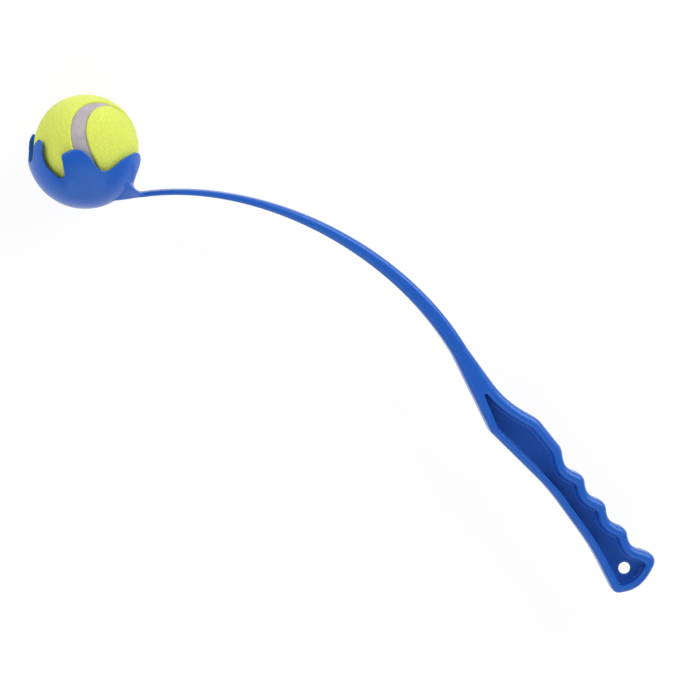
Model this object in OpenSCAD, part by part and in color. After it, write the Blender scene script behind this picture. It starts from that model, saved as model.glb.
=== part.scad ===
// Dog ball launcher stick: a moulded handle, a bowed shaft and a clawed cup that holds a felt ball.
// Millimetres. The stick lies on its side: its mid plane is z = 0, and both sides of it are alike.
// The origin is the centre of the hanging hole, +X runs from the ball to the butt, +Y is the finger side.

/* [Ball] */
// Outer diameter of the ball over its felt
ball_d = 63.5; // [60:0.5:68]
// Thickness of the felt
felt_t = 3; // [2:0.1:4]
// Wall of the rubber core
core_wall = 3.3; // [2.5:0.1:4.5]
// Width of the seam between the two felt panels
seam_w = 9; // [5:0.1:11]
// How far the seam lies below the felt
seam_drop = 0.9; // [0.2:0.1:1.4]
// Glue line around each felt panel
glue_gap = 0.15; // [0.12:0.01:0.3]
// How far the seam waves away from a great circle
seam_wave = 0.22; // [0.12:0.01:0.24]
// Turn of the ball in the cup about X, Y and Z
ball_turn = [40, -74, -63]; // [-180:1:180]

/* [Cup] */
// Distance from the hanging hole to the centre of the ball
reach = 417.1; // [380:0.2:460]
// Direction that the mouth of the cup faces, from +X
mouth_angle = 120; // [112:1:126]
// Clearance between the ball and the cup
ball_gap = 0.3; // [0.2:0.05:0.5]
// Wall of the cup at its rim
cup_wall = 3.1; // [2:0.1:4]
// How much thicker the floor of the cup is than its rim
floor_extra = 1.9; // [0:0.1:3.5]
// Height of the prongs above the ball's middle
prong_tip = 1.4; // [-2:0.1:2]
// Depth of the narrow valley behind the front prong, below the ball's middle and before rounding
deep_valley = 21.3; // [18:0.1:23]
// Depth of the wide valley in front of the rear prong, before rounding
wide_valley = 12.8; // [10:0.1:15]
// Width of the front slot, between the two front prongs
front_slot_w = 24; // [18:0.5:28]
// Depth of the front slot below the ball's middle
front_slot_h = 13; // [10:0.5:21]
// Width of the rear slot, above the shaft
rear_slot_w = 26; // [22:0.5:29]
// Depth of the rear slot below the ball's middle
rear_slot_h = 16; // [12:0.5:17]
// Radius of the slots' inner corners
slot_r = 8; // [4:0.5:9]
// Radius of the prongs' corners at the slots
prong_r = 3; // [1:0.5:4]

/* [Shaft] */
// Thickness of the shaft in its plane of bending, at the cup
shaft_t_cup = 3.1; // [2.4:0.1:4]
// Thickness of the shaft at the handle
shaft_t_grip = 9.6; // [9:0.1:10.6]
// Depth of the shaft across its plane of bending, at the cup
shaft_d_cup = 9; // [7:0.5:13]
// Where the shaft leaves the cup, as an angle below the mouth's plane
root_angle = 30; // [26:1:33]
// Clear length of the flare, from the cup to where the bow begins
root_gap = 8.2; // [7:0.1:10]
// Rise of the shaft from the mouth's plane as it leaves the cup
leave_angle = 16; // [12:1:18]
// Direction in which the shaft enters the handle, from +X
enter_angle = -21; // [-24:1:-18]
// How far the bow holds its direction at the cup
leave_pull = 70; // [58:1:80]
// How far the bow holds its direction at the handle
enter_pull = 76; // [66:1:90]
// Width of the flare's upper edge where it meets the cup
flare_top_w = 42; // [34:0.5:44]
// Width of the flare's lower edge where it meets the cup
flare_low_w = 28; // [20:0.5:30]
// Height that the flare's upper side gains on the way to the cup
flare_rise = 8.3; // [6:0.1:9]
// How much higher the flare's upper side is at its edges
flare_lift = 2.5; // [0:0.1:3]
// Distance from the cup at which the flare begins to grow
flare_len = 9; // [8:0.5:11]

/* [Handle] */
// Direction of the grip from +X
grip_angle = -13; // [-16:1:-10]
// Depth of the handle across the mid plane
handle_d = 20; // [16:0.5:26]
// Radius of the long edges of the handle and the shaft
edge_r = 3; // [1.5:0.1:3.6]
// Width of the rim around the recess
rim_w = 5.4; // [4.6:0.1:6]
// How far the recess sits toward the palm, from the middle of the rim
recess_low = 0.8; // [0:0.1:1]
// How far the recess sits toward the butt
recess_back = 1; // [0:0.1:1.2]
// Thickness of the web at the bottom of the recess
web_t = 3; // [2:0.1:6]
// Radius of the recess's corners
recess_r = 1; // [0.6:0.1:1.6]
// Diameter of the hanging hole
hole_d = 7.2; // [5:0.1:8]
// Distance between finger grooves
finger_pitch = 20.8; // [19:0.1:22]
// Number of finger grooves
fingers = 4; // [3:1:4]
// Height of the ridges between the grooves, before rounding
ridge_h = 6.2; // [4:0.1:6.8]
// Radius of the finger grooves
groove_r = 9.5; // [7:0.5:10]
// Radius of the ridges
ridge_r = 6; // [4:0.1:6.4]
// Distance from the grip's axis to the bottom of the grooves, before rounding
finger_rise = 9.6; // [9.2:0.1:11]
// Distance from the grip's axis to the palm side at its hollow
palm_drop = 5.9; // [5:0.1:7]
// Height of the guard in front of the fingers, from the grip's axis
guard_rise = 15.6; // [14.8:0.1:17.5]
// Length of the guard's straight top
guard_len = 22; // [18:0.1:27]
// Depth of the heel below the guard, from the grip's axis
heel_drop = 11.6; // [10.5:0.1:14]
// Height of the butt on the finger side, from the grip's axis
butt_rise = 20; // [18.5:0.1:22]
// Depth of the butt on the palm side
butt_drop = 14.4; // [13.4:0.1:16]
// Distance from the hanging hole to the end of the butt, before rounding
butt_len = 15.8; // [14.8:0.1:19]
// Length of the neck, from the heel to the shaft
neck_len = 49.4; // [44:0.2:56]

/* [Hidden] */
blue = [0.12, 0.33, 0.76];
lime = [0.84, 0.93, 0.25];
grey = [0.72, 0.69, 0.75];
rubber = [0.18, 0.17, 0.16];
$fn = 96;
// Largest turn between the points of a rounded corner, and fewest steps round it
arc_step = 10;
min_steps = 5;
// Steps in the rounding of a long edge
edge_steps = 4;

ball_r = ball_d / 2;
ball_at = [-reach, 0];
core_r = ball_r - felt_t;
seat_r = ball_r + ball_gap;
cup_r = seat_r + cup_wall;

// Vectors

function unit(v) = v / norm(v);
function heading(a) = [cos(a), sin(a)];
function left_of(v) = [-v.y, v.x];
function turned(v, a) = v.x * heading(a) + v.y * heading(a + 90);
function mix(a, b, t) = a + (b - a) * t;
// Square root that stays zero below zero
function root(v) = sqrt(max(v, 0));

// Outlines with rounded corners, each corner given as [x, y, radius]. A left turn counts as positive.

function flat(p) = [p.x, p.y];
function turn_at(before, corner, after) =
    let (u = unit(flat(corner) - flat(before)), w = unit(flat(after) - flat(corner)))
    atan2(cross(u, w), u * w);
function corner_turns(corners) =
    let (n = len(corners))
    [for (i = [0 : n - 1]) turn_at(corners[(i + n - 1) % n], corners[i], corners[(i + 1) % n])];
function corner_steps(corners) = [for (t = corner_turns(corners)) max(min_steps, ceil(abs(t) / arc_step))];

function corner_arc(before, corner, after, steps) =
    let (u = unit(flat(before) - flat(corner)))
    let (turn = turn_at(before, corner, after))
    let (start = u * corner[2] * tan(abs(turn) / 2))
    let (centre = start + left_of(-u) * sign(turn) * corner[2])
    [for (k = [0 : steps]) flat(corner) + centre + turned(start - centre, turn * k / steps)];

// A corner with no radius stays a single point
function rounded(corners, steps) =
    let (n = len(corners))
    [for (i = [0 : n - 1])
        each corners[i][2] == 0 ? [flat(corners[i])]
            : corner_arc(corners[(i + n - 1) % n], corners[i], corners[(i + 1) % n], steps[i])];
function smooth(corners) = rounded(corners, corner_steps(corners));

// An open clockwise outline drawn in by an even distance. Its two ends slide along the line between them.

function drawn_in(pts, by) =
    let (n = len(pts))
    let (across = unit(pts[0] - pts[n - 1]))
    [for (i = [0 : n - 1])
        let (a = unit(pts[max(i, 1)] - pts[max(i, 1) - 1]))
        let (b = unit(pts[min(i, n - 2) + 1] - pts[min(i, n - 2)]))
        i == 0 ? pts[i] - across * by : i == n - 1 ? pts[i] + across * by
            : pts[i] - left_of(a + b) * by / (1 + a * b)];

// Faces of a row of rings with n points each: closed round, and joined end to end or closed by caps

function ring_quads(rings, n, joined) =
    [for (k = [0 : joined ? rings - 1 : rings - 2]) for (i = [0 : n - 1])
        let (a = k * n, b = (k + 1) % rings * n, j = (i + 1) % n)
        each [[a + i, a + j, b + i], [a + j, b + j, b + i]]];

function ring_faces(rings, n, cap) = concat(
    ring_quads(rings, n, false),
    [for (f = cap) [f[2], f[1], f[0]]],
    [for (f = cap) [for (i = f) (rings - 1) * n + i]]);

// A cap's triangles, zipped between the two sides of a ring from its first and last point onward
function zipped(ring, onward, i, j) =
    j - i < 2 ? []
        : ring[i + 1] * onward < ring[j - 1] * onward
            ? concat([[i, i + 1, j]], zipped(ring, onward, i + 1, j))
            : concat([[i, j - 1, j]], zipped(ring, onward, i, j - 1));
function cap(ring, onward) = zipped(ring, onward, 0, len(ring) - 1);

// Handle: corners are placed along the grip's axis, from the hanging hole

function on_grip(along, across, r) = [each turned([along, across], grip_angle), r];

// Roundings of the outline
butt_r = 5.5;
butt_end_r = 22;
low_butt_r = 4.2;
guard_r = 7;
heel_r = 5.8;
sweep_r = 65;
palm_r = 130;

// Landmarks along the grip, each placed from its neighbour
last_groove = -9;
first_groove = last_groove - (fingers - 1) * finger_pitch;
guard_rear = first_groove - 10.9;
guard_front = guard_rear - guard_len;
sweep_at = guard_front - 21.4;
heel = guard_front - 12.7;
palm_front = heel + 50;
palm_rear = last_groove - 14.4;
recess_tip = sweep_at - 12.3;
butt_step = last_groove + 7.5;
butt_peak = butt_len - 8.8;
low_butt = butt_len - 8.4;

// Smaller rises and drops across the grip's axis
sweep_rise = 7.15;
step_rise = butt_rise - 4.4;
palm_rear_drop = palm_drop + 2.1;
neck_rise = 4.3;
recess_tip_rise = 0.2;
recess_tip_w = 1.4;
// Ridges lean toward the butt by this share of the pitch from the groove before
ridge_lead = 0.54 * finger_pitch;

// The handle starts where the bow of the shaft ends, square to it
neck_at = turned([heel - neck_len, neck_rise], grip_angle);
neck_dir = heading(enter_angle);
neck_side = left_of(neck_dir) * shaft_t_grip / 2;

finger_corners = [for (i = [0 : fingers - 1]) each [
    on_grip(first_groove + i * finger_pitch, finger_rise, groove_r),
    if (i < fingers - 1)
        on_grip(first_groove + i * finger_pitch + ridge_lead, finger_rise + ridge_h, ridge_r)]];

handle_corners = concat(
    [[each (neck_at + neck_side), 0]],
    [on_grip(sweep_at, sweep_rise, sweep_r)],
    [on_grip(guard_front, guard_rise, guard_r)],
    [on_grip(guard_rear, guard_rise, guard_r)],
    finger_corners,
    [on_grip(butt_step, step_rise, butt_r)],
    [on_grip(butt_peak, butt_rise, butt_r)],
    [on_grip(butt_len, 0, butt_end_r)],
    [on_grip(low_butt, -butt_drop, low_butt_r)],
    [on_grip(palm_rear, -palm_rear_drop, palm_r)],
    [on_grip(palm_front, -palm_drop, palm_r)],
    [on_grip(heel, -heel_drop, heel_r)],
    [[each (neck_at - neck_side), 0]]);
handle_steps = corner_steps(handle_corners);
handle_outline = rounded(handle_corners, handle_steps);

// The recess follows the outline inside the rim, with as many points, and closes to a narrow tip
function recess_r_at(turn, r) = turn < 0 ? max(r - rim_w, recess_r) : r + rim_w;
recess_corners =
    let (inner = drawn_in([for (c = handle_corners) flat(c)], rim_w))
    let (turns = corner_turns(handle_corners))
    let (last = len(handle_corners) - 1)
    [for (i = [0 : last])
        i == 0 ? on_grip(recess_tip, recess_tip_rise + recess_tip_w / 2, 0)
            : i == last ? on_grip(recess_tip, recess_tip_rise - recess_tip_w / 2, 0)
            : [each (inner[i] + turned([recess_back, -recess_low], grip_angle)),
               recess_r_at(turns[i], handle_corners[i][2])]];
recess_outline = rounded(recess_corners, handle_steps);

// Quarter round of a long edge: [draw in, distance from the outer face]
edge_round = [for (k = [0 : edge_steps]) let (a = 90 * k / edge_steps) edge_r * [1 - sin(a), 1 - cos(a)]];

module handle() {
    face = handle_d / 2;
    web = web_t / 2;
    // From the web out to the rim, round the edge, up the side and back to the web
    half = concat(
        [[recess_outline, web], [recess_outline, face]],
        [for (e = edge_round) [drawn_in(handle_outline, e[0]), face - e[1]]]);
    levels = concat(
        [for (l = half) [l[0], -l[1]]],
        [for (k = [len(half) - 1 : -1 : 0]) half[k]]);
    points = [for (l = levels) for (p = l[0]) [p.x, p.y, l[1]]];
    color(blue) difference() {
        polyhedron(
            points,
            ring_faces(len(levels), len(handle_outline), cap(recess_outline, heading(grip_angle))),
            convexity = 10);
        translate([0, 0, -face]) cylinder(d = hole_d, h = handle_d);
    }
}

// Cup: its frame starts at the ball's centre, with x to the shaft, y out of the mouth and z across

cup_turn = mouth_angle - 90;
// Height of the plain bowl from which the prongs are cut, and reach of the blocks that cut them
cup_top = prong_tip + 2;
cut_reach = 2 * cup_r;

module at_cup() {
    translate(ball_at) rotate(cup_turn) children();
}

// Points of a circle about the mouth's axis, from its lowest point up to the rim's highest prong
band_steps = 28;
function bowl_line(r, sink) =
    [for (k = [0 : band_steps])
        let (a = mix(-90, asin((cup_top + sink) / r), k / band_steps))
        [k == 0 ? 0 : r * cos(a), r * sin(a) - sink]];

outer_line = bowl_line(cup_r, floor_extra);
inner_line = bowl_line(seat_r, 0);

module spun(line) {
    rotate([-90, 0, 0]) rotate_extrude() polygon(line);
}

// A place on the side of the rim: round the cup by an angle from the shaft, and up from the ball's middle
function on_rim(around, up, r) = [cup_r * cos(around), up, r];

// What is cut off above the prongs and valleys, seen from the side: front prong, narrow valley,
// middle prong, wide valley and rear prong
rim_outline = smooth([
    [-cut_reach, cut_reach, 0],
    [-cut_reach, prong_tip + 1.2, 0],
    on_rim(145.6, prong_tip + 1.2, 2.2),
    on_rim(140.3, -0.52 * deep_valley, 14),
    on_rim(109.2, -deep_valley, 2),
    on_rim(120.6, -0.18 * deep_valley, 2.5),
    on_rim(102.6, prong_tip + 2.6, 9.2),
    on_rim(74.8, -wide_valley, 6.4),
    on_rim(55.3, prong_tip - 2.4, 15),
    on_rim(36.4, prong_tip + 1.8, 4),
    [cut_reach, -cut_reach / 4, 0],
    [cut_reach, cut_reach, 0]]);

// Height at which the slots begin to open out between the prongs' corners
slot_top = prong_tip - 2;

// A slot from the ball's centre outward, with a rounded floor
module slot(w, depth) {
    rotate([0, 90, 0])
        linear_extrude(cut_reach)
            polygon(smooth([
                [-w / 2 - cut_reach, slot_top + cut_reach, 0],
                [-w / 2, slot_top, prong_r],
                [-w / 2, -depth, slot_r],
                [w / 2, -depth, slot_r],
                [w / 2, slot_top, prong_r],
                [w / 2 + cut_reach, slot_top + cut_reach, 0]]));
}

module cup() {
    color(blue) at_cup() difference() {
        spun(concat(outer_line, [for (k = [band_steps : -1 : 0]) inner_line[k]]));
        linear_extrude(2 * cut_reach, center = true) polygon(rim_outline);
        slot(rear_slot_w, rear_slot_h);
        mirror([1, 0, 0]) slot(front_slot_w, front_slot_h);
    }
}

// Shaft: a bow from the cup's flare to the neck of the handle

leave_dir = heading(cup_turn + leave_angle);
cup_at = ball_at + turned([0, -floor_extra], cup_turn);
bow = let (start = cup_at + (cup_r + root_gap) * heading(cup_turn - root_angle))
    [start, start + leave_pull * leave_dir, neck_at - enter_pull * neck_dir, neck_at];

function bow_point(t) =
    let (s = 1 - t)
    s * s * s * bow[0] + 3 * s * s * t * bow[1] + 3 * s * t * t * bow[2] + t * t * t * bow[3];
function bow_dir(t) =
    let (s = 1 - t)
    unit(s * s * (bow[1] - bow[0]) + 2 * s * t * (bow[2] - bow[1]) + t * t * (bow[3] - bow[2]));

bow_steps = 36;
// Distances of the flare's first and last ring from the cup's wall
flare_from = -1;
flare_to = root_gap - 1.8;
flare_steps = 12;
// Radius of the flare's long edges at the cup, and how fast its width grows: 1 is an even rate
flare_edge_r = 1.6;
flare_rate = 1.3;

// Steps across the upper side of a section, and its edge radius as a share of the shaft's thickness
top_steps = 8;
edge_share = 0.45;

// A section across the shaft: half widths at the top and bottom, and heights of both above the line
function section(top_w, low_w, top, low, r) =
    [for (q = [0 : 3])
        let (upper = q < 2, across = q == 0 || q == 3 ? 1 : -1)
        let (out = (upper ? top_w : low_w) - r, middle = upper ? top - r : low + r)
        each concat(
            q == 1 ? [for (k = [1 : top_steps - 1]) [out * (1 - 2 * k / top_steps), top]] : [],
            [for (k = [0 : edge_steps])
                let (a = 90 * (q + k / edge_steps))
                [across * out + r * cos(a), middle + r * sin(a)]])];

// A section set square to a direction in the mid plane
function placed(at, dir, pts) = [for (p = pts) let (q = at + left_of(dir) * p.y) [q.x, q.y, p.x]];

function shaft_section(t) =
    let (thick = mix(shaft_t_cup, shaft_t_grip, t * t * (3 - 2 * t)))
    let (wide = mix(shaft_d_cup, handle_d, t) / 2)
    section(wide, wide, thick / 2, -thick / 2, min(edge_r, edge_share * thick));

// Each ring of the flare lies on a ball about the cup, and is as wide and high as its distance asks
function flare_ring(gap) =
    let (near = 1 - min(max(gap / flare_len, 0), 1))
    let (pts = section(
        mix(shaft_d_cup, flare_top_w, pow(near, flare_rate)) / 2,
        mix(shaft_d_cup, flare_low_w, pow(near, flare_rate)) / 2,
        shaft_t_cup / 2 + flare_rise * near * near,
        -shaft_t_cup / 2,
        mix(edge_share * shaft_t_cup, flare_edge_r, near * near)))
    // How far the shaft's line passes below the cup's centre, and the level at which it enters the ball
    let (r = cup_r + gap)
    let (below = (cup_r + root_gap) * sin(root_angle + leave_angle))
    let (level = root(r * r - below * below) * sin(leave_angle) - below * cos(leave_angle))
    [for (p = pts)
        let (up = level + p.y + (p.y < 0 ? 0 : flare_lift * pow(2 * p.x / flare_top_w, 2)))
        let (q = cup_at + turned([root(r * r - up * up - p.x * p.x), up], cup_turn))
        [q.x, q.y, p.x]];

module shaft() {
    rings = concat(
        [for (k = [0 : flare_steps]) flare_ring(mix(flare_from, flare_to, k / flare_steps))],
        [for (k = [0 : bow_steps])
            let (t = k / bow_steps)
            placed(bow_point(t), bow_dir(t), shaft_section(t))]);
    color(blue) difference() {
        polyhedron(
            [for (r = rings) each r],
            ring_faces(len(rings), len(rings[0]), cap(rings[0], [0, 0, -1])),
            convexity = 6);
        at_cup() spun(concat(outer_line, [[0, cup_top]]));
    }
}

// Ball: all its pieces are made about its own centre, and turned together

module at_ball() {
    translate(ball_at) rotate(ball_turn) children();
}

// Half of the hollow core, split on the plane z = 0
module core_half(side) {
    color(rubber) at_ball() mirror([0, 0, side])
        rotate_extrude() difference() {
            intersection() {
                circle(core_r);
                square(core_r);
            }
            circle(core_r - core_wall);
        }
}

module core_half_a() {
    core_half(0);
}

module core_half_b() {
    core_half(1);
}

// The seam's middle line, a wave around the ball, and its direction
function seam_line(t) = unit([
    (1 - seam_wave) * cos(t) + seam_wave * cos(3 * t),
    (1 - seam_wave) * sin(t) - seam_wave * sin(3 * t),
    2 * sqrt((1 - seam_wave) * seam_wave) * sin(2 * t)]);
function seam_dir(t) = unit(seam_line(t + 0.5) - seam_line(t - 0.5));
// A direction beside the seam's line, by a distance along the felt
function beside_seam(t, by) =
    let (a = by / ball_r * 180 / PI)
    seam_line(t) * cos(a) + cross(seam_line(t), seam_dir(t)) * sin(a);

// Felt panel: rows run across it, from the seam to its mirror image over the panel's long middle line
panel_rows = 40;
panel_cols = 12;
// The first and last row stay this many degrees short of the panel's tips
panel_end = 1.2;
across_panel = unit([1, 1, 0]);

function panel_row(t) =
    let (edge = beside_seam(t, seam_w / 2))
    let (lat = asin(edge * across_panel))
    let (mid = unit(edge - across_panel * (edge * across_panel)))
    [for (j = [0 : panel_cols])
        let (a = lat * (1 - 2 * j / panel_cols))
        mid * cos(a) + across_panel * sin(a)];

module felt_panel() {
    rows = [for (i = [0 : panel_rows]) panel_row(mix(-45 + panel_end, 135 - panel_end, i / panel_rows))];
    // Each row as a closed ring: out along the felt's top and back along its underside
    rings = [for (row = rows) concat(
        [for (d = row) d * ball_r],
        [for (j = [panel_cols : -1 : 0]) row[j] * (core_r + glue_gap)])];
    polyhedron(
        [for (r = rings) each r],
        ring_faces(len(rings), len(rings[0]), cap(rings[0], -across_panel)),
        convexity = 8);
}

module felt_panel_a() {
    color(lime) at_ball() felt_panel();
}

module felt_panel_b() {
    color(lime) at_ball() rotate([180, 0, 0]) felt_panel();
}

// Seam strip: a band swept once around the ball
seam_steps = 96;
band_cols = 3;

module seam_strip() {
    half = seam_w / 2 - glue_gap;
    rings = [for (k = [0 : seam_steps - 1])
        let (t = 360 * k / seam_steps)
        let (row = [for (j = [0 : band_cols]) beside_seam(t, mix(-half, half, j / band_cols))])
        concat(
            [for (d = row) d * (ball_r - seam_drop)],
            [for (j = [band_cols : -1 : 0]) row[j] * (core_r + glue_gap)])];
    color(grey) at_ball()
        polyhedron([for (r = rings) each r], ring_quads(len(rings), 2 * band_cols + 2, true), convexity = 8);
}

handle();
shaft();
cup();
core_half_a();
core_half_b();
felt_panel_a();
felt_panel_b();
seam_strip();
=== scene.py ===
"""Looks of the dog ball launcher stick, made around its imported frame. All sizes are in metres."""
import math

import bmesh
import bpy
import numpy as np
from mathutils import Euler, Matrix, Vector, kdtree, noise


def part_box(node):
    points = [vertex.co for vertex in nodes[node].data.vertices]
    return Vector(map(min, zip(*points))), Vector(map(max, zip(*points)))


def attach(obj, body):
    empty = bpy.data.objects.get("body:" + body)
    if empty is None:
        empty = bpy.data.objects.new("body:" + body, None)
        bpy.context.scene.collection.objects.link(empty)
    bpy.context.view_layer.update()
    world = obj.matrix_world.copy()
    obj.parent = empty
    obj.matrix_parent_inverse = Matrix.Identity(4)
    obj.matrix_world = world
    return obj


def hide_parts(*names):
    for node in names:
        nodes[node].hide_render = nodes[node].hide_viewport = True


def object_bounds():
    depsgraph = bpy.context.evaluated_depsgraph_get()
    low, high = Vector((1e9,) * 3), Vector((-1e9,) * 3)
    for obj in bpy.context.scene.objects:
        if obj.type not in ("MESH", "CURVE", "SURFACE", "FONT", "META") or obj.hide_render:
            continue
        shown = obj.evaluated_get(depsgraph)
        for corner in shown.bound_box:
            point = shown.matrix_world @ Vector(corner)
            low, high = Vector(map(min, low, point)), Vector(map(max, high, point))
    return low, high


MM = 0.001

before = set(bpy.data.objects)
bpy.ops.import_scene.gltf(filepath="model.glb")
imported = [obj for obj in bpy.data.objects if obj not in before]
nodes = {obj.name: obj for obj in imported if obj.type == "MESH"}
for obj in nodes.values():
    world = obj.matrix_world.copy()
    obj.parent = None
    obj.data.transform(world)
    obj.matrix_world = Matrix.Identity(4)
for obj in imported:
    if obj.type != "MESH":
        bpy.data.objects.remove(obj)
cad_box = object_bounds()


# Meshes

def new_object(name, data):
    """An object in the scene."""
    made = bpy.data.objects.new(name, data)
    bpy.context.scene.collection.objects.link(made)
    return made


def new_piece(name, points, faces):
    """A smooth mesh object from points and faces, with its faces turned outward."""
    mesh = bpy.data.meshes.new(name)
    mesh.from_pydata([tuple(p) for p in points], [], faces)
    shell = bmesh.new()
    shell.from_mesh(mesh)
    bmesh.ops.recalc_face_normals(shell, faces=shell.faces)
    shell.to_mesh(mesh)
    shell.free()
    mesh.shade_smooth()
    return new_object(name, mesh)


def mesh_rows(items, key, width, kind):
    """One value of all points or edges of a mesh, as the rows of an array."""
    flat = np.zeros(len(items) * width, kind)
    items.foreach_get(key, flat)
    return flat.reshape(-1, width)


def relaxed(points, edges, amount, rounds):
    """Points drawn toward the middle of their neighbours, by an amount, some number of times."""
    size = len(points)
    count = np.bincount(edges.ravel(), minlength=size)
    for _ in range(rounds):
        total = np.stack([
            np.bincount(edges[:, 0], points[edges[:, 1], axis], size)
            + np.bincount(edges[:, 1], points[edges[:, 0], axis], size)
            for axis in range(3)], axis=1)
        points = points + amount * (total / count[:, None] - points)
    return points


# The stick: one moulding, so one skin over its three solids, with soft edges

STICK_NODES = ("handle", "shaft", "cup")
# The skin's voxels, and how far and how often its points are drawn to their neighbours
SKIN_VOXEL = 0.5 * MM
SKIN_SOFT = 0.5
SKIN_ROUNDS = 6
# The rounder rim of the finger side: its start, and the slope of the line through the hole that bounds it
RIM_FROM = -150 * MM
RIM_SLOPE = -0.228
# How deep it goes under the handle's side faces, how softly it sets in, and how often its points are drawn
RIM_DEEP = 4.5 * MM
RIM_FADE = 5 * MM
RIM_DEEP_FADE = 2.5 * MM
RIM_ROUNDS = 80


def rim_share(points):
    """How much each point belongs to the rounder rim, from 0 to 1, as a column."""
    x, y, z = points.T
    along = (x - RIM_FROM) / RIM_FADE
    across = (y - RIM_SLOPE * x) / RIM_FADE
    under = (np.abs(z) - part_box("handle")[1].z + RIM_DEEP) / RIM_DEEP_FADE
    return np.prod(np.clip([along, across, under], 0, 1), axis=0)[:, None]


def make_stick():
    """The skin: the three solids remeshed as one, then relaxed."""
    whole = bmesh.new()
    for name in STICK_NODES:
        whole.from_mesh(nodes[name].data)
    mesh = bpy.data.meshes.new("stick")
    whole.to_mesh(mesh)
    whole.free()
    stick = new_object("stick", mesh)
    remesh = stick.modifiers.new("skin", "REMESH")
    remesh.mode = "VOXEL"
    remesh.voxel_size = SKIN_VOXEL
    graph = bpy.context.evaluated_depsgraph_get()
    skin = bpy.data.meshes.new_from_object(stick.evaluated_get(graph))
    stick.modifiers.clear()
    edges = mesh_rows(skin.edges, "vertices", 2, int)
    points = relaxed(mesh_rows(skin.vertices, "co", 3, float), edges, SKIN_SOFT, SKIN_ROUNDS)
    points = relaxed(points, edges, SKIN_SOFT * rim_share(points), RIM_ROUNDS)
    skin.vertices.foreach_set("co", points.ravel())
    skin.update()
    skin.shade_smooth()
    stick.data = skin
    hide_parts(*STICK_NODES)
    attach(stick, "stick")
    return stick


# The ball: felt panels and the seam between them, made about the ball's own centre

# Sizes, place and turn, as in the part's source
BALL_R = 31.75 * MM
BALL_AT = Vector((-417.1 * MM, 0, 0))
BALL_TURN = Euler([math.radians(a) for a in (40, -74, -63)]).to_matrix()
BALL_PLACE = Matrix.Translation(BALL_AT) @ BALL_TURN.to_4x4()
FELT_T = 3 * MM
GLUE = 0.15 * MM
UNDER_R = BALL_R - FELT_T + GLUE
SEAM_W = 9 * MM
SEAM_DROP = 0.9 * MM
SEAM_WAVE = 0.22

# Places round the seam, as angles, and the small angle that its direction is taken over
SEAM_STEPS = 300
SEAM_ROUND = np.linspace(0, 2 * math.pi, SEAM_STEPS, endpoint=False)
SEAM_STEP = 0.01


def unit(v):
    """Vectors at a length of 1."""
    return v / np.linalg.norm(v, axis=-1, keepdims=True)


def seam_line(t):
    """Directions of the seam's middle line."""
    lift = 2 * math.sqrt((1 - SEAM_WAVE) * SEAM_WAVE)
    return unit(np.stack([
        (1 - SEAM_WAVE) * np.cos(t) + SEAM_WAVE * np.cos(3 * t),
        (1 - SEAM_WAVE) * np.sin(t) - SEAM_WAVE * np.sin(3 * t),
        lift * np.sin(2 * t)], axis=-1))


def beside_seam(t, by):
    """Directions beside the seam's line, by a distance along the felt."""
    here = seam_line(t)
    ahead = unit(seam_line(t + SEAM_STEP) - seam_line(t - SEAM_STEP))
    angle = np.broadcast_to(by, t.shape)[:, None] / BALL_R
    return here * np.cos(angle) + np.cross(here, ahead) * np.sin(angle)


# The felt's edges creep over the seam on the ball's finger side, and stand back a little elsewhere
CREEP_SIDE = BALL_TURN.inverted() @ Vector((0.26, 0.97, 0.03)).normalized()
CREEP_LOW = -0.3 * MM
CREEP_GAIN = 5.2 * MM
CREEP_MOST = 3.5 * MM
# How far inward the felt is drawn along, and the share of the creep that each panel takes
CREEP_FADE = 9 * MM
CREEP_A = 0.8
CREEP_B = 1.2


def creep(directions):
    """How far the felt creeps over the seam, in directions from the ball's centre."""
    toward = np.maximum(directions @ np.array(CREEP_SIDE), 0)
    return np.minimum(CREEP_LOW + CREEP_GAIN * toward ** 2, CREEP_MOST)


# Each felt panel: its node, whether it is the half turned one, its share of the creep and its seed
FELTS = {
    "felt_a": ("felt_panel_a", False, CREEP_A, 3),
    "felt_b": ("felt_panel_b", True, CREEP_B, 11),
}
PANEL_ROWS = 260
PANEL_COLS = 120
# How far short of the panel's tips its end rows lie, as an angle
PANEL_END = math.radians(0.8)
# The rounded edge, its roughness, and the nap, which is a fine noise on a coarser one
FELT_EDGE = 1.3 * MM
EDGE_ROUGH = 0.2 * MM
EDGE_SIZE = 2.5 * MM
NAP_DEPTH = 0.1 * MM
NAP_SIZE = 0.9 * MM
NAP_COARSE = 0.3


def noise_place(direction, size, seed):
    """Where noise of a size is read for a direction from the ball's centre."""
    return Vector(direction) * (BALL_R / size) + Vector((seed, 0, 0))


def edge_noise(direction, seed):
    """How far the felt's edge strays in a direction."""
    return EDGE_ROUGH * noise.noise(noise_place(direction, EDGE_SIZE, seed))


def nap(direction, seed):
    """Height of the felt's nap in a direction."""
    place = noise_place(direction, NAP_SIZE, seed)
    return NAP_DEPTH * (noise.noise(place) + noise.noise(place * NAP_COARSE))


def nearest(points, targets):
    """Number and distance of the target that is nearest to each point."""
    tree = kdtree.KDTree(len(targets))
    for i, target in enumerate(targets):
        tree.insert(target, i)
    tree.balance()
    found = [tree.find(point) for point in points]
    return np.array([f[1] for f in found]), np.array([f[2] for f in found])


def grid_faces(rows, cols, first):
    """Faces of a grid of points that are numbered row by row from a first one."""
    corner = [first + i * cols + j for i in range(rows - 1) for j in range(cols - 1)]
    return [(c, c + cols, c + cols + 1, c + 1) for c in corner]


def grid_border(rows, cols):
    """Numbers of the points round a grid, in order."""
    return (
        list(range(cols))
        + [i * cols + cols - 1 for i in range(1, rows)]
        + [(rows - 1) * cols + j for j in range(cols - 2, -1, -1)]
        + [i * cols for i in range(rows - 2, 0, -1)])


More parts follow.
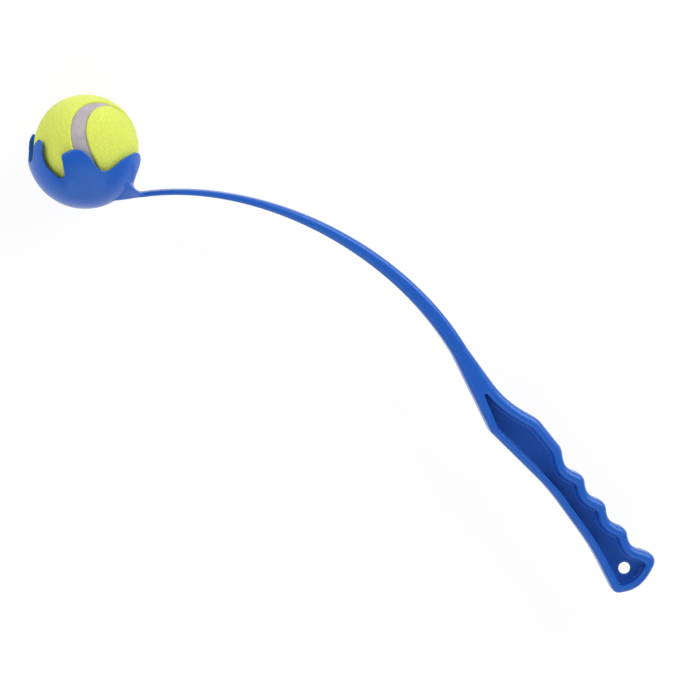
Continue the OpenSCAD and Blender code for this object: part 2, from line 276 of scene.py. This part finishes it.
def panel_directions():
    """Directions over a felt panel, in rows that run across it from edge to edge."""
    across = unit(np.array([1.0, 1.0, 0.0]))
    t = np.linspace(-math.pi / 4 + PANEL_END, 3 * math.pi / 4 - PANEL_END, PANEL_ROWS)
    edge = beside_seam(t, SEAM_W / 2)
    side = edge @ across
    middle = unit(edge - np.outer(side, across))
    angle = np.arcsin(side)[:, None] * np.linspace(1, -1, PANEL_COLS)
    rows = middle[:, None] * np.cos(angle)[..., None] + across * np.sin(angle)[..., None]
    return rows.reshape(-1, 3)


def crept(directions, border, half_turn, share, seed):
    """A panel's directions once its rough border has crept over the seam and drawn the felt along."""
    rim = directions[border]
    at_rim, inward = nearest(directions, rim)
    line = seam_line(SEAM_ROUND)
    beside = line[nearest(rim, line)[0]]
    turn = np.array([1, -1, -1]) if half_turn else np.ones(3)
    by = creep(beside * turn) * share
    by += [edge_noise(direction, seed) for direction in rim]
    by = by[at_rim] / BALL_R * np.maximum(1 - inward * BALL_R / CREEP_FADE, 0) ** 2
    return unit(directions + unit(beside - rim)[at_rim] * by[:, None])


def make_felt(name, half_turn, share, seed):
    """A felt panel with a nap, a rounded edge and an underside on the core."""
    border = grid_border(PANEL_ROWS, PANEL_COLS)
    directions = crept(panel_directions(), border, half_turn, share, seed)
    reach = nearest(directions, directions[border])[1] * BALL_R
    low = 1 - np.minimum(reach / FELT_EDGE, 1)
    height = BALL_R - FELT_EDGE * (1 - np.sqrt(1 - low ** 2))
    height += np.array([nap(direction, seed) for direction in directions]) * (1 - low)
    top = directions * height[:, None]
    under = directions * UNDER_R
    size = len(directions)
    faces = grid_faces(PANEL_ROWS, PANEL_COLS, 0) + grid_faces(PANEL_ROWS, PANEL_COLS, size)
    faces += [(a, b, b + size, a + size) for a, b in zip(border, border[1:] + border[:1])]
    panel = new_piece(name, np.concatenate([top, under]), faces)
    panel.data.transform(BALL_PLACE @ Matrix.Rotation(math.pi if half_turn else 0, 4, "X"))
    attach(panel, "ball")
    return panel


# The seam strip: its columns, its reach under the felt's edges, and how far and by what power its edges fall
SEAM_COLS = 8
SEAM_TUCK = 0.3 * MM
SEAM_EDGE = 0.15 * MM
SEAM_EDGE_POWER = 4


def make_seam():
    """The seam strip: a band that runs once round the ball, tucked under the felt's rounded edges."""
    by = creep(seam_line(SEAM_ROUND))
    edge_a, edge_b = [SEAM_W / 2 + SEAM_TUCK - share * by for share in (CREEP_A, CREEP_B)]
    shares = np.linspace(-1, 1, SEAM_COLS)
    lines = [beside_seam(SEAM_ROUND, edge_a * max(s, 0) + edge_b * min(s, 0)) for s in shares]
    falls = SEAM_EDGE * shares ** SEAM_EDGE_POWER
    top = [line * (BALL_R - SEAM_DROP - fall) for line, fall in zip(lines, falls)]
    under = [line * UNDER_R for line in lines[::-1]]
    rings = np.stack(top + under, axis=1)
    cols = rings.shape[1]
    faces = []
    for i in range(SEAM_STEPS):
        here = i * cols
        ahead = (i + 1) % SEAM_STEPS * cols
        for j in range(cols):
            k = (j + 1) % cols
            faces.append((here + j, ahead + j, ahead + k, here + k))
    seam = new_piece("seam", rings.reshape(-1, 3), faces)
    seam.data.transform(BALL_PLACE)
    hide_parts("seam_strip")
    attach(seam, "ball")
    return seam


# Materials

# Noise lies mostly within this span
NOISE_SPAN = (0.3, 0.7)


def set_inputs(node, **values):
    """Sets constant values on a node's own sockets."""
    for key, value in values.items():
        node.inputs[key.replace("_", " ")].default_value = value


def add_node(tree, kind, **values):
    """A new node with values on its sockets."""
    node = tree.nodes.new(kind)
    set_inputs(node, **values)
    return node


class Finish:
    """A material with its shader, and short ways to add to it."""

    def __init__(self, name):
        self.material = bpy.data.materials.new(name)
        self.material.use_nodes = True
        self.tree = self.material.node_tree
        self.shader = self.tree.nodes["Principled BSDF"]
        self.place = self.add("ShaderNodeTexCoord").outputs["Object"]
        self.normal = None

    def add(self, kind, **values):
        return add_node(self.tree, kind, **values)

    def link(self, source, target):
        self.tree.links.new(source, target)

    def grain(self, size, detail=3.0, stretch=(1, 1, 1)):
        """Noise with features of about a size, stretched along the axes."""
        mapping = self.add("ShaderNodeMapping", Scale=[1 / s for s in stretch])
        texture = self.add("ShaderNodeTexNoise", Scale=1 / size, Detail=detail)
        self.link(self.place, mapping.inputs["Vector"])
        self.link(mapping.outputs["Vector"], texture.inputs["Vector"])
        return texture.outputs["Fac"]

    def colour(self, grain, low, high, span=NOISE_SPAN):
        """Colours the surface from a low to a high colour, as its grain crosses a span."""
        ramp = self.add("ShaderNodeValToRGB")
        for element, place, rgb in zip(ramp.color_ramp.elements, span, (low, high)):
            element.position = place
            element.color = (*rgb, 1)
        self.link(grain, ramp.inputs["Fac"])
        self.link(ramp.outputs["Color"], self.shader.inputs["Base Color"])

    def roughness(self, grain, low, high):
        """Changes the roughness from a low to a high value, as its grain crosses the noise's span."""
        start, end = NOISE_SPAN
        scale = self.add("ShaderNodeMapRange", From_Min=start, From_Max=end, To_Min=low, To_Max=high)
        self.link(grain, scale.inputs["Value"])
        self.link(scale.outputs["Result"], self.shader.inputs["Roughness"])

    def bump(self, grain, depth):
        """Adds bumps of a depth to those that are there."""
        bump = self.add("ShaderNodeBump", Distance=depth)
        self.link(grain, bump.inputs["Height"])
        if self.normal:
            self.link(self.normal, bump.inputs["Normal"])
        self.normal = bump.outputs["Normal"]
        self.link(self.normal, self.shader.inputs["Normal"])


def stick_finish():
    """Satin moulded plastic: even blue, a fine grain and slight changes of gloss."""
    finish = Finish("stick_plastic")
    flow = finish.grain(50 * MM, detail=2.0, stretch=(3, 1, 1))
    finish.colour(flow, low=(0.0125, 0.092, 0.455), high=(0.0145, 0.102, 0.49))
    finish.roughness(finish.grain(12 * MM), low=0.24, high=0.34)
    finish.bump(finish.grain(0.6 * MM), depth=0.02 * MM)
    finish.bump(finish.grain(20 * MM, detail=1.0), depth=0.1 * MM)
    set_inputs(finish.shader, IOR=1.42, Specular_Tint=(0.6, 0.88, 1, 1))
    return finish.material


def felt_finish():
    """Napped felt: tufts of brighter and duller yellow green, with a soft sheen."""
    finish = Finish("felt")
    tufts = finish.grain(1.1 * MM, detail=4.0)
    finish.colour(tufts, low=(0.60, 0.68, 0.082), high=(0.70, 0.79, 0.125), span=(0.32, 0.68))
    finish.bump(finish.grain(0.5 * MM, detail=4.0), depth=0.2 * MM)
    set_inputs(
        finish.shader, Roughness=0.95, Sheen_Weight=0.35, Sheen_Roughness=0.5,
        Sheen_Tint=(0.95, 1, 0.6, 1))
    return finish.material


def seam_finish():
    """Pale lilac rubber in the seam, slightly uneven."""
    finish = Finish("seam_rubber")
    finish.colour(finish.grain(4 * MM), low=(0.38, 0.343, 0.38), high=(0.455, 0.418, 0.45))
    finish.bump(finish.grain(1 * MM), depth=0.05 * MM)
    set_inputs(finish.shader, Roughness=0.7)
    return finish.material


def core_finish():
    """Dull dark rubber of the core."""
    finish = Finish("core_rubber")
    finish.colour(finish.grain(6 * MM), low=(0.022, 0.02, 0.019), high=(0.035, 0.033, 0.03))
    finish.bump(finish.grain(1.5 * MM), depth=0.05 * MM)
    set_inputs(finish.shader, Roughness=0.8)
    return finish.material


def paint(piece, material):
    """Gives a piece one material."""
    piece.data.materials.clear()
    piece.data.materials.append(material)


# Stage

# The photograph's width in pixels, and how much of the stick's mid plane one pixel covers
PHOTO_PX = 700
PX = 0.6021 * MM
# The camera: the mid plane's point in the photograph's middle, and the camera's back and up directions
VIEW_AT = Vector((-214.2, 1.77, 0)) * MM
VIEW_BACK = Vector((-0.1657, 0.0129, 0.9861))
VIEW_UP = Vector((-0.6070, 0.7867, -0.1123))
# How far it stands, how far it sees, and its sensor's width in millimetres
CAMERA_FAR = 16.0
CAMERA_SIGHT = 100
SENSOR_W = 36


def make_camera():
    """The camera that took the photograph."""
    back = VIEW_BACK.normalized()
    right = VIEW_UP.cross(back).normalized()
    up = back.cross(right)
    data = bpy.data.cameras.new("camera")
    data.sensor_width = SENSOR_W
    data.lens = SENSOR_W * CAMERA_FAR / (PHOTO_PX * PX)
    data.clip_end = CAMERA_SIGHT
    camera = new_object("camera", data)
    turn = Matrix((right, up, back)).transposed().to_4x4()
    camera.matrix_world = Matrix.Translation(VIEW_AT + back * CAMERA_FAR) @ turn
    bpy.context.scene.camera = camera


# The floor: its side, the grey that light bounces off, and the grey and the glow that are seen
FLOOR_SIDE = 40.0
FLOOR_BOUNCE = 0.8
FLOOR_SHADE = 0.16
FLOOR_GLOW = 0.86


def grey(level):
    """A grey as a shader takes it."""
    return (level, level, level, 1)


def floor_finish():
    """Nearly white with a faint shadow to the camera and in reflections, and else a plain grey."""
    material = bpy.data.materials.new("floor")
    material.use_nodes = True
    tree = material.node_tree
    link = tree.links.new
    tree.nodes.remove(tree.nodes["Principled BSDF"])
    plain = add_node(tree, "ShaderNodeBsdfDiffuse", Color=grey(FLOOR_BOUNCE))
    shade = add_node(tree, "ShaderNodeBsdfDiffuse", Color=grey(FLOOR_SHADE))
    glow = add_node(tree, "ShaderNodeEmission", Strength=FLOOR_GLOW)
    white = add_node(tree, "ShaderNodeAddShader")
    link(shade.outputs["BSDF"], white.inputs[0])
    link(glow.outputs["Emission"], white.inputs[1])
    path = add_node(tree, "ShaderNodeLightPath")
    seen = path.outputs["Is Camera Ray"]
    for ray in ("Is Glossy Ray", "Is Transmission Ray"):
        either = add_node(tree, "ShaderNodeMath")
        either.operation = "MAXIMUM"
        link(seen, either.inputs[0])
        link(path.outputs[ray], either.inputs[1])
        seen = either.outputs["Value"]
    choice = add_node(tree, "ShaderNodeMixShader")
    link(seen, choice.inputs["Fac"])
    link(plain.outputs["BSDF"], choice.inputs[1])
    link(white.outputs["Shader"], choice.inputs[2])
    link(choice.outputs["Shader"], tree.nodes["Material Output"].inputs["Surface"])
    return material


def make_floor(height):
    """A floor under the part."""
    half = FLOOR_SIDE / 2
    corners = [(-half, -half, height), (half, -half, height), (half, half, height), (-half, half, height)]
    floor = new_piece("floor", corners, [(0, 1, 2, 3)])
    paint(floor, floor_finish())


# The sky's strength, the lamps' distance, and each lamp's direction from the part, side and power in watts
SKY = 0.3
LAMP_FAR = 1.6
LAMPS = {
    "key": ((0.07, 0.89, 0.43), 1.0, 22),
    "fill": ((0.46, -0.69, 0.56), 2.2, 20),
    "side": ((-0.93, -0.1, 0.32), 1.0, 11),
}


def make_lamp(name, direction, side, power):
    """A square lamp in a direction from the middle of the part, turned to it."""
    data = bpy.data.lights.new(name, "AREA")
    data.size = side
    data.energy = power
    lamp = new_object(name, data)
    middle = (cad_box[0] + cad_box[1]) / 2
    away = Vector(direction).normalized()
    lamp.location = middle + away * LAMP_FAR
    lamp.rotation_mode = "QUATERNION"
    lamp.rotation_quaternion = away.to_track_quat("Z", "Y")


def make_world():
    """An even white sky."""
    world = bpy.data.worlds.new("world")
    world.use_nodes = True
    set_inputs(world.node_tree.nodes["Background"], Color=grey(1), Strength=SKY)
    bpy.context.scene.world = world


# The whole object

make_camera()
paint(make_stick(), stick_finish())
felt = felt_finish()
for felt_name, (node_name, half_turn, share, seed) in FELTS.items():
    panel = make_felt(felt_name, half_turn, share, seed)
    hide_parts(node_name)
    paint(panel, felt)
paint(make_seam(), seam_finish())
core = core_finish()
for node_name in ("core_half_a", "core_half_b"):
    paint(nodes[node_name], core)

make_floor(cad_box[0].z)
make_world()
for lamp_name, lamp in LAMPS.items():
    make_lamp(lamp_name, *lamp)

bpy.context.scene.view_settings.view_transform = "Standard"
